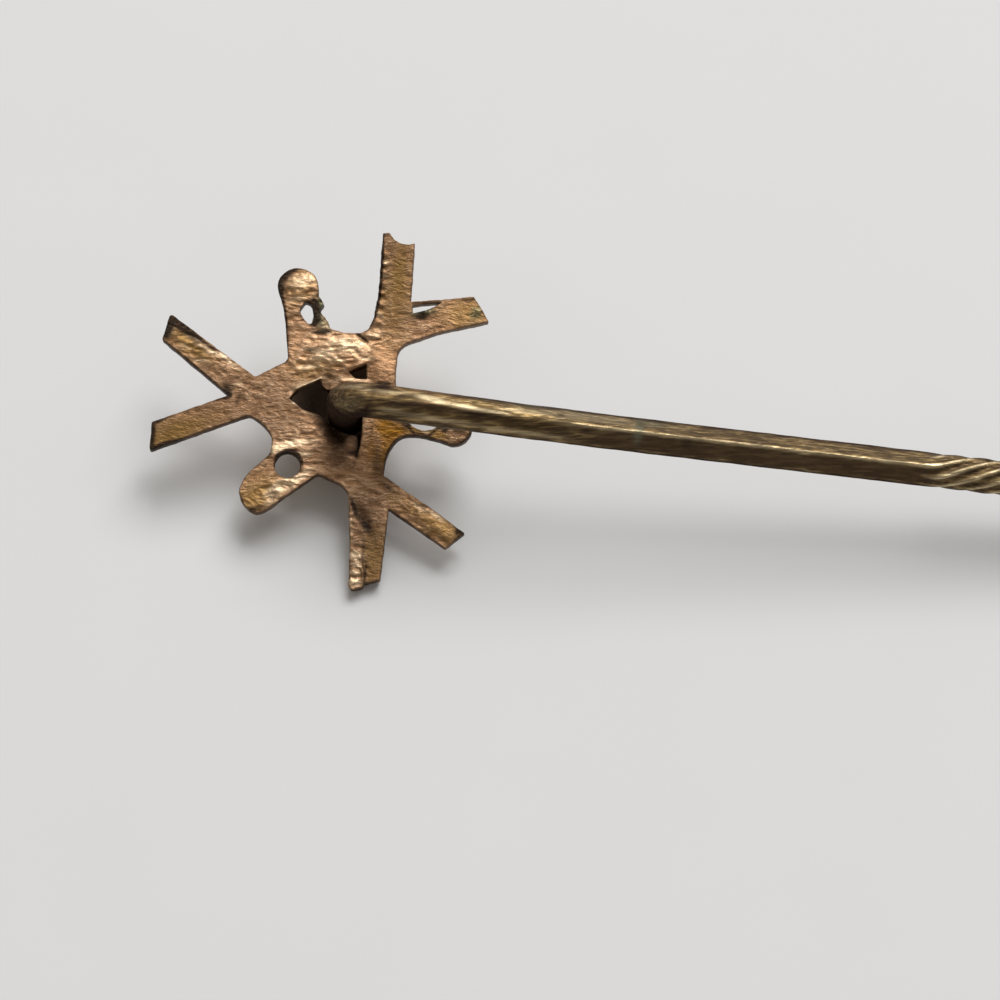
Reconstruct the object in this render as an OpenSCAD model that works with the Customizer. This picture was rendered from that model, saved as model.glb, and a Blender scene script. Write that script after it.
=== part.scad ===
// Stick pin, seen from its back: a pierced star of thin sheet on a bent wire stem.
// The star has three pairs of straight arms, three round-ended tabs with a hole in each,
// and a three-cornered window in the middle, closed from the front by a plain domed boss.
// The stem leaves the boss through the window, turns along the star's back and is round,
// then square, then twisted, then round again to its point.
// The pin lies face down on the tip of one arm, on the boss and on its own point.
// Sizes are in millimetres and degrees. X runs along the stem towards its point, Z is up,
// and the origin is under the middle of the pin, on the surface that it lies on.

/* [Star] */
// Thickness of the sheet
sheet_t = 0.45; // [0.35:0.05:0.55]
// Width of an arm at its tip, before each arm's own correction
arm_w = 0.98; // [0.8:0.02:1.2]
// Distance from the middle at which the arms begin to bend
arm_hinge = 3.9; // [3.6:0.1:4.4]
// Diameter of the hole in a tab
tab_hole_d = 0.88; // [0.6:0.02:0.96]
// Width of the saw cut that runs past the window's corner
saw_w = 0.16; // [0.1:0.02:0.24]

/* [Boss] */
// Radius of the boss's round front
boss_ball_r = 1.5; // [1.2:0.05:1.7]
// Radius of the boss's rim, behind the middle of the star
boss_rim_r = 2.05; // [1.9:0.05:2.1]
// Thickness of the boss's wall
boss_wall = 0.3; // [0.2:0.05:0.4]

/* [Stem] */
// Diameter of the round wire at the head
wire_d = 1.2; // [1:0.05:1.3]
// Side of the square stretch
square_w = 0.91; // [0.7:0.01:0.95]
// Height of the wire's middle above the middle of the sheet
stand = 2.24; // [2:0.02:2.6]
// Radius of the turn at the head, along the wire's middle
turn_r = 0.8; // [0.7:0.05:1]
// Length of the round neck, from the turn's corner to the square stretch
neck_l = 8.2; // [6:0.1:10]
// Length of the plain square stretch
square_l = 11.9; // [10:0.1:15]
// Length of the twisted stretch
twist_l = 9; // [6:0.5:12]
// Length of one full turn of the twist
twist_pitch = 7.4; // [6:0.2:10]
// Diameter of the round shank below the twist
shank_d = 1.05; // [0.9:0.05:1.15]
// Length of the round shank
shank_l = 7; // [5:0.5:9]
// Length of the tapered end
taper_l = 13; // [10:0.5:16]
// Radius of the blunted point
point_r = 0.1; // [0.08:0.01:0.15]

/* [Rest] */
// How far the star leans up from the surface
tilt = 21; // [18:0.5:24]
// Heading of the neck, seen from above
neck_heading = -5.7; // [-8:0.1:-4]
// Heading of the rest of the stem, seen from above
stem_heading = -4.6; // [-6:0.1:-3]
// Turn of the square stretch's upper ridge, from straight up towards the star's low side
ridge_turn = 19; // [10:1:30]

/* [Hidden] */

$fn = 64;
// Hairline between pieces that are soldered on the real pin
seam = 0.03;
// Overlap that joins the parts of one solid
lap = 0.06;
// Amount by which a cut runs past a face
past = 1;
// How much smaller a section is drawn where it must stay inside the one that it meets
inside = 0.01;
// Thickness of the slices that a change of section runs between, their number of sides, and
// the lengths of the changes from round to square and from square to round
slice_t = 0.02;
slice_sides = 32;
change_l = 1.6;
shank_change_l = 0.8;
// Number of slices that the twist is built from
twist_slices = 40;

// Columns of the arms table: direction, side step of the centre line to its left,
// distance of the root from the star's middle, reach of the tip, extra width at the tip,
// flare, how much further the left edge reaches than the right, and bend towards the back
A_DIR = 0;
A_STEP = 1;
A_ROOT = 2;
A_REACH = 3;
A_EXTRA = 4;
A_FLARE = 5;
A_SLANT = 6;
A_BEND = 7;
arms = [
  [141.7, 1.59, 2, 6.39, -0.08, 0.17, -0.35, 1.5],
  [200.2, -1.16, 2, 6.50, -0.05, 0, 0.41, -1.5],
  [85.7, -1.59, 2.5, 5.99, 0.14, 0.22, 0.30, 2],
  [11.4, 2.30, 2, 5.45, 0.02, 0.29, -0.33, -2.5],
  [267.7, 1.13, 2.8, 6.30, 0.01, 0.41, -0.28, 0],
  [324.3, -1.59, 2, 6.07, -0.13, 0, 0.25, 2.5]
];
// Distance from the middle at which an arm's flare is full
flare_at = 2;
// The arm with a bite out of its tip, and the bite's radius and place from the tip's middle
bitten_arm = arms[2];
bite_r = 0.36;
bite_out = 0.17;
bite_step = -0.03;

// Columns of the tabs table: direction, side step to its left, distance of the round end's
// middle, width of the round end, of the neck beside it and of the root, then the hole's
// distance and side step, and how much narrower than round it is
T_DIR = 0;
T_STEP = 1;
T_REACH = 2;
T_END = 3;
T_NECK = 4;
T_ROOT = 5;
T_HOLE = 6;
T_HOLE_STEP = 7;
T_SQUEEZE = 8;
tabs = [
  [104.2, 0.43, 4.28, 1.44, 1.26, 1.62, 3.33, 0.30, 0.26],
  [222.7, 0.44, 4.28, 1.30, 1.30, 1.66, 2.79, 0.37, 0],
  [345, 0.30, 3.99, 1.31, 1.22, 1.40, 2.92, 0.30, 0]
];
// Distance from the middle at which the tabs' roots start
tab_root = 2;

// Corners of the star's middle, as direction and distance, going round from the top tab
middle_corners = [
  [141.6, 2.38], [162.1, 3.08], [187.1, 3.13], [206.6, 2.58], [215.7, 2.62],
  [252.9, 2.57], [275.6, 3.18], [300.6, 2.98], [310, 2.48], [325.3, 2.22],
  [335.8, 2.45], [10, 2.3], [22.7, 2.09], [41.7, 2.59], [42.4, 3.18],
  [68.3, 2.8], [93.8, 2.57]
];
// Corners of the window, in the same way. The saw ran on past the third one.
window_corners = [[174, 1.7], [287.4, 1.84], [51.7, 1.84], [124.8, 1.03]];
saw_heading = 24;
saw_past = 0.16;

// Where the wire crosses the sheet, from the star's middle
wire_at = [0.17, -0.19];
// Solder between the wire and the window's upper edge: its middle's distance along the edge
// from the edge's corner, its length and thickness there, and how far it climbs up the wire
solder_along = 0.55;
solder_l = 0.9;
solder_t = 0.12;
solder_rise = 0.75;

// Point at a distance along a direction and at a step to its left
function spot(direction, along, across) =
  [along * cos(direction) - across * sin(direction),
   along * sin(direction) + across * cos(direction)];
function polar(corner) = spot(corner[0], corner[1], 0);
function unit(v) = v / norm(v);

// Half width of an arm at a distance from the middle
function arm_half(row, along) =
  (arm_w + row[A_EXTRA] + row[A_FLARE] * (row[A_REACH] - along) / (row[A_REACH] - flare_at)) / 2;
// Reach of one edge of an arm: side is 1 on the left and -1 on the right
function edge_reach(row, side) = row[A_REACH] + side * row[A_SLANT] / 2;
// Outline of an arm from a given distance to its tip, in the arm's own frame
function arm_outline(row, start) = [
  [start, row[A_STEP] - arm_half(row, start)],
  [edge_reach(row, -1), row[A_STEP] - arm_half(row, row[A_REACH])],
  [edge_reach(row, 1), row[A_STEP] + arm_half(row, row[A_REACH])],
  [start, row[A_STEP] + arm_half(row, start)]
];
// Outline of an arm's flat root, in the arm's own frame
function root_outline(row) = [
  [row[A_ROOT], row[A_STEP] - arm_half(row, row[A_ROOT])],
  [arm_hinge, row[A_STEP] - arm_half(row, arm_hinge)],
  [arm_hinge, row[A_STEP] + arm_half(row, arm_hinge)],
  [row[A_ROOT], row[A_STEP] + arm_half(row, row[A_ROOT])]
];
// Corner of a bent arm's tip, in the star's frame: face is 1 at the back and -1 at the front
function tip_corner(row, side, face) =
  let (out = edge_reach(row, side) - arm_hinge,
       up = face * sheet_t / 2,
       flat = spot(row[A_DIR], arm_hinge + out * cos(row[A_BEND]) - up * sin(row[A_BEND]),
                   row[A_STEP] + side * arm_half(row, row[A_REACH])))
  [flat.x, flat.y, out * sin(row[A_BEND]) + up * cos(row[A_BEND])];
// A point of the star's frame, leaned as the star lies
function lean(p) = [p.x, p.y * cos(tilt) - p.z * sin(tilt), p.y * sin(tilt) + p.z * cos(tilt)];
tips = [for (row = arms) for (side = [-1, 1]) for (face = [-1, 1]) lean(tip_corner(row, side, face))];

// Height of the star's middle, so that its lowest arm touches the surface
star_z = -min([for (p = tips) p.z]);
// The boss's ball is centred this far in front of the sheet's middle, and touches as well
boss_out = (star_z - boss_ball_r) / cos(tilt);

// Corner of the turn at the head, where the neck's line meets the line through the window
normal = [0, -sin(tilt), cos(tilt)];
head_rise = lean([wire_at.x, wire_at.y, stand]);
stem_l = neck_l + square_l + twist_l + shank_l + taper_l;
// Fall of the stem, so that its point touches the surface
fall = asin((star_z + head_rise.z - point_r) / stem_l);
function heading(turn) = [cos(fall) * cos(turn), cos(fall) * sin(turn), -sin(fall)];
neck_dir = heading(neck_heading);
stem_dir = heading(stem_heading);
point_from_star = head_rise + neck_l * neck_dir + (stem_l - neck_l) * stem_dir;

// Place of the star's middle, so that the origin is under the middle of the whole
star_x = -(point_from_star.x + point_r + min([for (p = tips) p.x])) / 2;
star_y = -(max([for (p = tips) p.y]) + min([for (p = tips) p.y])) / 2;
star_at = [star_x, star_y, star_z];

// The turn: its angle, the length that it takes off each leg, and its corners
head_at = star_at + head_rise;
turn_angle = acos(normal * neck_dir);
turn_trim = turn_r * tan(turn_angle / 2);
kink_at = head_at + neck_l * neck_dir;

// Frame at a point with its Z along one direction and its X towards another
function frame_at(point, along, side) =
  let (z = unit(along), y = unit(cross(z, side)), x = cross(y, z))
  [[x.x, y.x, z.x, point.x], [x.y, y.y, z.y, point.y], [x.z, y.z, z.z, point.z], [0, 0, 0, 1]];

// Everything on the star is drawn flat, with the sheet's middle at zero, and leaned here
module on_star() {
  translate(star_at)
    rotate([tilt, 0, 0])
      children();
}

// One round-ended tab
module tab(row) {
  rotate(row[T_DIR])
    translate([0, row[T_STEP]]) {
      polygon([
        [tab_root, -row[T_ROOT] / 2],
        [row[T_REACH], -row[T_NECK] / 2],
        [row[T_REACH], row[T_NECK] / 2],
        [tab_root, row[T_ROOT] / 2]
      ]);
      translate([row[T_REACH], 0])
        circle(d = row[T_END]);
    }
}

// The hole in a tab, round or narrowed across the tab
module tab_hole(row) {
  width = tab_hole_d - row[T_SQUEEZE];
  rotate([0, 0, row[T_DIR]])
    translate([row[T_HOLE], row[T_HOLE_STEP], -past])
      if (row[T_SQUEEZE] == 0)
        cylinder(h = 2 * past, d = width);
      else {
        for (end = [-1, 1])
          translate([end * row[T_SQUEEZE] / 2, 0, 0])
            cylinder(h = 2 * past, d = width);
        translate([-row[T_SQUEEZE] / 2, -width / 2, 0])
          cube([row[T_SQUEEZE], width, 2 * past]);
      }
}

// The flat middle of the star, with the roots of its arms and its tabs
module star_middle() {
  linear_extrude(sheet_t, center = true) {
    polygon([for (corner = middle_corners) polar(corner)]);
    for (row = arms)
      rotate(row[A_DIR])
        polygon(root_outline(row));
    for (row = tabs)
      tab(row);
  }
}

// One arm beyond its hinge, bent out of the star's plane
module bent_arm(row) {
  rotate([0, 0, row[A_DIR]])
    translate([arm_hinge, 0, 0])
      rotate([0, -row[A_BEND], 0])
        translate([-arm_hinge, 0, 0])
          linear_extrude(sheet_t, center = true)
            polygon(arm_outline(row, arm_hinge - lap));
}

// The three-cornered window and the end of the saw cut past its corner
module window() {
  translate([0, 0, -past])
    linear_extrude(2 * past) {
      polygon([for (corner = window_corners) polar(corner)]);
      translate(polar(window_corners[2]))
        rotate(saw_heading)
          translate([-saw_past, -saw_w])
            square([2 * saw_past, saw_w]);
    }
}

// The bite out of the tip of one arm
module tip_bite() {
  rotate([0, 0, bitten_arm[A_DIR]])
    translate([bitten_arm[A_REACH] + bite_out, bitten_arm[A_STEP] + bite_step, -past])
      cylinder(h = 2 * past, r = bite_r);
}

module star_plate() {
  color([0.66, 0.48, 0.36])
    on_star()
      difference() {
        union() {
          star_middle();
          for (row = arms)
            bent_arm(row);
        }
        window();
        tip_bite();
        for (row = tabs)
          tab_hole(row);
      }
}

// Half of the side view of a ball with a skirt that runs from it to a wider rim. The skirt
// starts a little inside the line that would just touch the ball.
module thimble_side(ball_r, rim_r, top) {
  touch = atan2(top, rim_r) - acos(ball_r / norm([rim_r, top]));
  skirt_r = ball_r * cos(touch) - inside;
  skirt_z = ball_r * sin(touch);
  intersection() {
    circle(r = ball_r);
    translate([0, -2 * ball_r])
      square([2 * ball_r, 2 * ball_r]);
  }
  polygon([[0, skirt_z], [skirt_r, skirt_z], [rim_r, top], [0, top]]);
}

module front_boss() {
  top = boss_out - sheet_t / 2 - seam;
  color([0.60, 0.46, 0.28])
    on_star()
      translate([0, 0, -boss_out])
        rotate_extrude()
          difference() {
            thimble_side(boss_ball_r, boss_rim_r, top);
            thimble_side(boss_ball_r - boss_wall, boss_rim_r - boss_wall, top + seam);
          }
}

// The wire from inside the boss up through the window, its turn, and the neck. They are drawn
// round the middle of the turn, so that each meets the next one face to face.
module head_wire() {
  side = unit(neck_dir - (neck_dir * normal) * normal);
  inside_r = boss_ball_r - boss_wall;
  rim_r = norm(wire_at) + wire_d / 2;
  foot_l = stand - turn_trim + boss_out + sqrt(inside_r * inside_r - rim_r * rim_r) - seam;
  multmatrix(frame_at(head_at - turn_trim * normal + turn_r * side, cross(normal, side), -side)) {
    rotate_extrude(angle = turn_angle)
      translate([turn_r, 0])
        circle(d = wire_d);
    translate([turn_r, 0, 0])
      rotate([90, 0, 0])
        cylinder(h = foot_l, d = wire_d);
    rotate([0, 0, turn_angle])
      translate([turn_r, 0, 0])
        rotate([-90, 0, 0])
          cylinder(h = neck_l - turn_trim, d = wire_d);
  }
}

// Solder that fills the corner between the wire and the window's upper edge
module solder() {
  edge_from = polar(window_corners[3]);
  edge = polar(window_corners[2]) - edge_from;
  on_star()
    hull() {
      translate(edge_from)
        rotate([0, 0, atan2(edge.y, edge.x)])
          translate([solder_along, -seam - solder_t / 2, 0])
            cube([solder_l, solder_t, sheet_t], center = true);
      translate([wire_at.x, wire_at.y, sheet_t / 2])
        cylinder(h = solder_rise, d = wire_d - 2 * lap, $fn = slice_sides);
    }
}

// A thin square slice of the stem and a round one, both a hair inside the full section
module square_slice(side, turn) {
  width = side - 2 * inside;
  rotate([0, 0, turn])
    translate([0, 0, slice_t / 2])
      cube([width, width, slice_t], center = true);
}

module round_slice(diameter) {
  cylinder(h = slice_t, d = diameter - 2 * inside, $fn = slice_sides);
}

// The stem beyond its neck, drawn along Z
module long_stem() {
  ridge = 45 + ridge_turn;
  twist = 360 * twist_l / twist_pitch;
  strand_w = wire_d / sqrt(2);
  shank_z = square_l + twist_l;
  taper_z = shank_z + shank_l;
  translate([0, 0, change_l])
    rotate([0, 0, ridge])
      translate([-square_w / 2, -square_w / 2, 0])
        cube([square_w, square_w, square_l - change_l]);
  translate([0, 0, square_l])
    rotate([0, 0, ridge])
      linear_extrude(twist_l, twist = twist, slices = twist_slices, $fn = 4)
        for (turn = [0, 45])
          rotate(turn)
            square(strand_w, center = true);
  translate([0, 0, square_l - lap])
    cylinder(h = 2 * lap, r = square_w / 2 - lap);
  hull() {
    for (turn = [0, 45])
      translate([0, 0, shank_z - slice_t])
        square_slice(strand_w, ridge + turn - twist);
    translate([0, 0, shank_z + shank_change_l])
      round_slice(shank_d);
  }
  translate([0, 0, shank_z + shank_change_l])
    cylinder(h = shank_l - shank_change_l, d = shank_d);
  translate([0, 0, taper_z])
    cylinder(h = taper_l, d1 = shank_d, r2 = point_r);
  translate([0, 0, taper_z + taper_l])
    sphere(r = point_r);
}

module stem() {
  color([0.50, 0.41, 0.24]) {
    head_wire();
    solder();
    hull() {
      multmatrix(frame_at(kink_at, neck_dir, [0, 0, 1]))
        translate([0, 0, -slice_t])
          round_slice(wire_d);
      multmatrix(frame_at(kink_at, stem_dir, [0, 0, 1]))
        translate([0, 0, change_l])
          square_slice(square_w, 45 + ridge_turn);
    }
    multmatrix(frame_at(kink_at, stem_dir, [0, 0, 1]))
      long_stem();
  }
}

star_plate();
front_boss();
stem();
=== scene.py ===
"""Looks of a stick pin that lies face down: a sawn star of copper-coloured sheet on a bent
brass stem. Lengths in the tables are millimetres in the star's own flat frame, with p to the
right, q up the leaning star and h out of its back, unless a comment says otherwise."""

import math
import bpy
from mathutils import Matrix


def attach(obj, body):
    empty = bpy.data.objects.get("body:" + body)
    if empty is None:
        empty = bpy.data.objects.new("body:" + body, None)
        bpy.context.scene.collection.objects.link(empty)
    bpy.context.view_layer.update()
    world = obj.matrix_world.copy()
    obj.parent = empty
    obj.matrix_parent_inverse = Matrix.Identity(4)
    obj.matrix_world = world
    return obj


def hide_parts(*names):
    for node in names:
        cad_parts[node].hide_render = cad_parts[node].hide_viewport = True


bl_info = {
    "name": "Stick Pin",
    "version": (1, 0, 0),
    "blender": (4, 5, 0),
    "location": "3D View > Sidebar > Stick Pin",
    "description": "Builds the star, stem and boss of a stick pin and its stage",
    "category": "Add Mesh",
}

import bmesh
import bpy
from bpy.props import FloatProperty, FloatVectorProperty, PointerProperty
from mathutils import Matrix, Vector, kdtree, noise

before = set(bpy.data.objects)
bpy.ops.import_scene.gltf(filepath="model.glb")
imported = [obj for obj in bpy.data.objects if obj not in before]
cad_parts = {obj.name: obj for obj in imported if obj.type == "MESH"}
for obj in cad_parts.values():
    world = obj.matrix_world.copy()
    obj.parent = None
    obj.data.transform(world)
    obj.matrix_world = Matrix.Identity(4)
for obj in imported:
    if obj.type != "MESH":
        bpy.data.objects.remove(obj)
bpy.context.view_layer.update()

MM = 0.001
# Side of the picture in pixels, where the star's middle shows in it, and the pixels to a
# millimetre across the star, up it and out of its back
PICTURE = 1000
SEEN_MIDDLE = (340, 405)
PX_ACROSS = 29.0
PX_UP = 28.47
PX_OUT = 5.55

# Corners of the star's outline, clockwise from the root of the upper arm, as p, q and how far
# back from the corner its round begins
OUTLINE = (
    # Upper arm with its bitten tip
    (0.98, 2.62, 0.08), (1.14, 2.99, 0.15), (1.32, 3.90, 0.30), (1.46, 6.01, 0.02),
    (1.69, 6.03, 0.03), (1.84, 5.80, 0.08), (2.10, 5.64, 0.10), (2.34, 5.61, 0.06),
    (2.57, 5.66, 0.02), (2.44, 3.58, 0.03),
    # Right arm
    (3.45, 3.67, 0.10), (4.62, 3.79, 0.03), (5.14, 2.90, 0.06), (3.34, 2.50, 0.50),
    (2.02, 2.02, 0.36), (1.92, 1.20, 0.20),
    # Right tab
    (1.93, 0.52, 0.06), (2.30, 0.40, 0.10), (4.15, -0.13, 0.15), (4.56, -0.42, 0.25),
    (4.58, -0.98, 0.28), (4.32, -1.36, 0.22), (3.92, -1.49, 0.20), (3.45, -1.31, 0.20),
    (2.72, -1.11, 0.30), (2.05, -1.15, 0.35), (1.66, -1.70, 0.30), (1.56, -2.10, 0.15),
    # Lower right arm
    (1.50, -2.52, 0.06), (2.90, -3.50, 0.20), (4.30, -4.55, 0.03), (3.64, -5.08, 0.05),
    (1.69, -3.69, 0.05),
    # Lower arm with its torn tip
    (1.41, -6.17, 0.03), (0.88, -6.29, 0.03), (0.80, -6.44, 0.06), (0.42, -6.52, 0.06),
    (0.33, -6.34, 0.03), (0.36, -4.90, 0.20), (0.31, -3.16, 0.10), (0.08, -2.84, 0.15),
    # Lower left tab
    (-0.76, -2.46, 0.12), (-1.21, -2.78, 0.15), (-2.45, -3.70, 0.20), (-2.86, -3.87, 0.20),
    (-3.31, -3.57, 0.25), (-3.50, -3.02, 0.25), (-3.21, -2.49, 0.25), (-2.37, -1.74, 0.12),
    (-2.31, -1.16, 0.20), (-2.62, -0.74, 0.20),
    # Lower of the left arms
    (-3.10, -0.39, 0.15), (-6.55, -1.63, 0.10), (-6.48, -0.63, 0.05), (-3.83, 0.31, 0.03),
    # Upper of the left arms
    (-6.14, 2.25, 0.06), (-5.86, 3.17, 0.16), (-2.93, 0.95, 0.10), (-1.86, 1.50, 0.10),
    # Top tab
    (-1.80, 1.62, 0.10), (-1.90, 2.95, 0.30), (-2.00, 3.58, 0.20), (-2.20, 4.11, 0.20),
    (-2.10, 4.47, 0.18), (-1.71, 4.79, 0.20), (-1.29, 4.79, 0.18), (-0.84, 4.52, 0.18),
    (-0.75, 4.15, 0.12), (-0.77, 3.80, 0.08), (-0.55, 3.52, 0.08), (-0.69, 3.27, 0.06),
    (-0.43, 2.90, 0.08), (-0.33, 2.64, 0.08), (0.02, 2.52, 0.10),
    (0.28, 2.47, 0.10), (0.74, 2.49, 0.08),
)
# The torn window: its upper edge from the left tip, its hidden and right edges, the flap's edge
WINDOW = (
    (-1.74, 0.17, 0.02), (-1.48, 0.50, 0.06), (-1.21, 0.62, 0.10), (-0.68, 0.86, 0.04),
    (-0.60, 0.62, 0.06), (-0.46, 0.47, 0.08), (0.30, 0.52, 0.10), (0.80, 0.47, 0.05),
    (0.78, 0.10, 0.10),
    (0.76, -1.12, 0.08), (0.70, -1.50, 0.05), (0.58, -1.82, 0.02), (0.63, -1.40, 0.05),
    (0.60, -1.04, 0.05), (0.15, -0.95, 0.10), (-0.40, -0.62, 0.10), (-0.72, -0.30, 0.10),
    (-1.28, -0.20, 0.12),
)
# The small gap above the wire
GAP = (
    (0.28, 1.10, 0.03), (0.60, 1.24, 0.05), (0.90, 1.35, 0.03), (0.93, 0.86, 0.05),
    (0.56, 0.87, 0.08),
)
# Slit between the right arm and the strand over it
SLIT = (
    (2.50, 3.18, 0.02), (2.50, 3.46, 0.02), (2.95, 3.53, 0.10), (3.50, 3.58, 0.03),
    (3.05, 3.32, 0.10),
)
# Hole of the top tab, torn to the shape of a leaf
LEAF = (
    (-1.20, 3.60, 0.06), (-0.99, 3.48, 0.10), (-0.92, 3.16, 0.10), (-0.97, 2.83, 0.04),
    (-1.10, 2.80, 0.08), (-1.29, 3.02, 0.15), (-1.41, 3.30, 0.12),
)
# Holes as middle, width across, length and turn
HOLES = (
    (-1.80, -2.16, 0.88, 0.88, 0),
    (2.92, -0.43, 1.02, 1.22, -8),
)
# Arms that bend a little, as direction, side step and bend, the first and last in degrees
BENDS = (
    (141.7, 1.59, 1.5), (200.2, -1.16, -1.5), (85.7, -1.59, 2.0),
    (11.4, 2.30, -2.5), (324.3, -1.59, 2.5),
)
# Raised lips along torn edges, or a crease where the height is negative, as both ends, half
# width and height
LIPS = (
    (-1.55, 0.50, -0.60, 0.92, 0.07, 0.10),
    (0.22, 1.20, 1.08, 1.50, 0.06, 0.10),
    (-0.02, 0.78, 0.95, 0.74, 0.05, 0.10),
    (0.85, 2.42, 1.40, 2.30, 0.07, 0.12),
    (0.60, 2.40, 0.95, 2.12, 0.05, -0.08),
    (0.42, -5.12, 0.72, -5.28, 0.05, 0.07),
    (0.72, -5.28, 0.86, -6.30, 0.05, 0.07),
    (1.10, 2.62, 1.47, 5.95, 0.04, 0.03),
    (2.50, 3.56, 3.45, 3.68, 0.05, 0.04),
)
# Room on each side of an arm's middle line, and the stretch over which its bend sets in
ARM_ROOM = 0.9
BEND_BLEND = 0.5
# Flap below the window: a point and the turn of its fold line, how deep it goes and over what
# width, where it fades out towards its left and lower ends, and its lit part, which is left out
# of the painted shade that the stem's shadow lays on the flap
FLAP_AT = (-1.03, -0.70)
FLAP_TURN = -52.0
FLAP_DEEP = 0.50
FLAP_SLOPE = 0.75
FLAP_LEFT = (-1.85, -1.15)
FLAP_LOW = (-2.05, -1.45)
FLAP_LIT = (0.38, -1.33, 0.36, 0.26, 80)
# Cut edges turn by more than this angle in radians, and they are rounded by this much
CUT_ANGLE = 1.2
CUT_ROUND = 0.022
# Span of the star that is divided, and faces' width to their height
SPAN_P = (-6.7, 5.3)
SPAN_Q = (-6.7, 6.2)
LONG = 1.3
# Edges shorter than this after the cutting are closed up
SLIVER = 0.0005
# Heights of the sheet's slow sway, its crumpled relief and its crust, and depths of the nicks
# in its edges, plain and ragged
SWAY = 0.045
CRUMPLE = 0.075
CRUST = 0.10
NICK = 0.014
NICK_RAGGED = 0.03
# Strongest painted shade on the folded flap, where the stem's shadow falls
FLAP_SHADE = 0.87


def ripple(x, y, z):
    """Smooth noise of about -1 to 1 at a point."""
    return noise.noise(Vector((x, y, z)))


def smooth(low, high, value):
    """Rises smoothly from 0 at low to 1 at high."""
    t = min(max((value - low) / (high - low), 0.0), 1.0)
    return t * t * (3 - 2 * t)


def length(name, description, millimetres):
    """Property for a length."""
    return FloatProperty(name=name, description=description, default=millimetres * MM,
                         unit="LENGTH")


def tint(name, description, colour):
    """Property for a colour."""
    return FloatVectorProperty(name=name, description=description, default=colour, size=3,
                               min=0, max=1, subtype="COLOR")


class StarSizes(bpy.types.PropertyGroup):
    middle: FloatVectorProperty(
        name="Middle", description="Place of the middle of the star's sheet",
        default=(-0.0212294, 0.00020464, 0.00252522), subtype="XYZ", unit="LENGTH")
    tilt: FloatProperty(
        name="Tilt", description="How far the star leans up from the floor",
        default=math.radians(21), subtype="ANGLE", unit="ROTATION")
    sheet: length("Sheet", "Thickness of the sheet", 0.45)
    hinge: length("Bend From", "Distance from the middle at which the arms begin to bend", 3.9)
    grain: length("Mesh Grain", "Height of the faces that the sheet is divided into", 0.040)


class StemSizes(bpy.types.PropertyGroup):
    wire: length("Wire", "Diameter of the round wire at the head", 1.2)
    square: length("Square", "Side of the square stretch", 0.91)
    shank: length("Shank", "Diameter of the round shank", 1.05)
    pitch: length("Twist Pitch", "Length of one full turn of the twist", 7.4)


class BossSizes(bpy.types.PropertyGroup):
    ball: length("Ball", "Radius of the boss's round front", 1.5)
    rim: length("Rim", "Radius of the boss's rim behind the star", 2.05)
    wall: length("Wall", "Thickness of the boss's wall", 0.3)


class Finishes(bpy.types.PropertyGroup):
    copper: tint("Copper", "Colour of the rubbed sheet", (0.40, 0.222, 0.112))
    brass: tint("Brass", "Colour of the wire where it is rubbed", (0.41, 0.268, 0.098))
    paper: tint("Floor", "Colour of the pale floor", (0.79, 0.795, 0.80))


# Mesh helpers
def rounded(rows, steps=5):
    """Points round a chart of corners, each corner drawn as a short curve."""
    points = []
    for i, (p, q, back) in enumerate(rows):
        corner = Vector((p, q, 0))
        before = Vector((*rows[i - 1][:2], 0)) - corner
        after = Vector((*rows[(i + 1) % len(rows)][:2], 0)) - corner
        start = corner + before.normalized() * min(back, 0.48 * before.length)
        end = corner + after.normalized() * min(back, 0.48 * after.length)
        for k in range(steps + 1):
            t = k / steps
            points.append((1 - t) ** 2 * start + 2 * t * (1 - t) * corner + t * t * end)
    return points


def prism(bm, corners, low, high):
    """Closed prism over a polygon of points, between two heights."""
    verts = [bm.verts.new((c.x, c.y, low)) for c in corners]
    face = bm.faces.new(verts)
    made = bmesh.ops.extrude_face_region(bm, geom=[face])
    top = [g for g in made["geom"] if isinstance(g, bmesh.types.BMVert)]
    bmesh.ops.translate(bm, verts=top, vec=(0, 0, high - low))


def peg(bm, middle, across, along, turn, low, high, segments=40):
    """Closed round or oval peg for cutting a hole."""
    made = bmesh.ops.create_cone(
        bm, cap_ends=True, segments=segments, radius1=0.5, radius2=0.5, depth=high - low)
    verts = made["verts"]
    bmesh.ops.scale(bm, verts=verts, vec=(along, across, 1))
    bmesh.ops.rotate(bm, verts=verts, matrix=Matrix.Rotation(math.radians(turn), 3, "Z"))
    bmesh.ops.translate(bm, verts=verts, vec=(*middle, (low + high) / 2))


def divide(bm, axis, low, high, step):
    """Cuts a mesh into strips across one axis."""
    facing = Vector((0, 0, 0))
    facing[axis] = 1
    at = low + step / 2
    while at < high:
        bmesh.ops.bisect_plane(bm, geom=bm.verts[:] + bm.edges[:] + bm.faces[:],
                               dist=1e-4, plane_co=at * facing, plane_no=facing)
        at += step


def as_object(bm, name):
    """Object with the mesh of a bmesh, linked to the scene."""
    bmesh.ops.recalc_face_normals(bm, faces=bm.faces)
    mesh = bpy.data.meshes.new(name)
    bm.to_mesh(mesh)
    bm.free()
    obj = bpy.data.objects.new(name, mesh)
    bpy.context.scene.collection.objects.link(obj)
    return obj


def worked_mesh(obj):
    """A bmesh of an object with its modifiers applied."""
    graph = bpy.context.evaluated_depsgraph_get()
    bm = bmesh.new()
    bm.from_object(obj, graph)
    return bm


def finish_piece(bm, name, node, material):
    """Smooth object of a bmesh that rides on the pin in place of a node, with its material."""
    obj = as_object(bm, name)
    obj.data.materials.append(material)
    for polygon in obj.data.polygons:
        polygon.use_smooth = True
    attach(obj, "root")
    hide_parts(node)


# Names of the painted layers, which hold painted shade and light besides stains and wear
LAYERS = ("stain_and_shade", "wear", "form")


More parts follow.
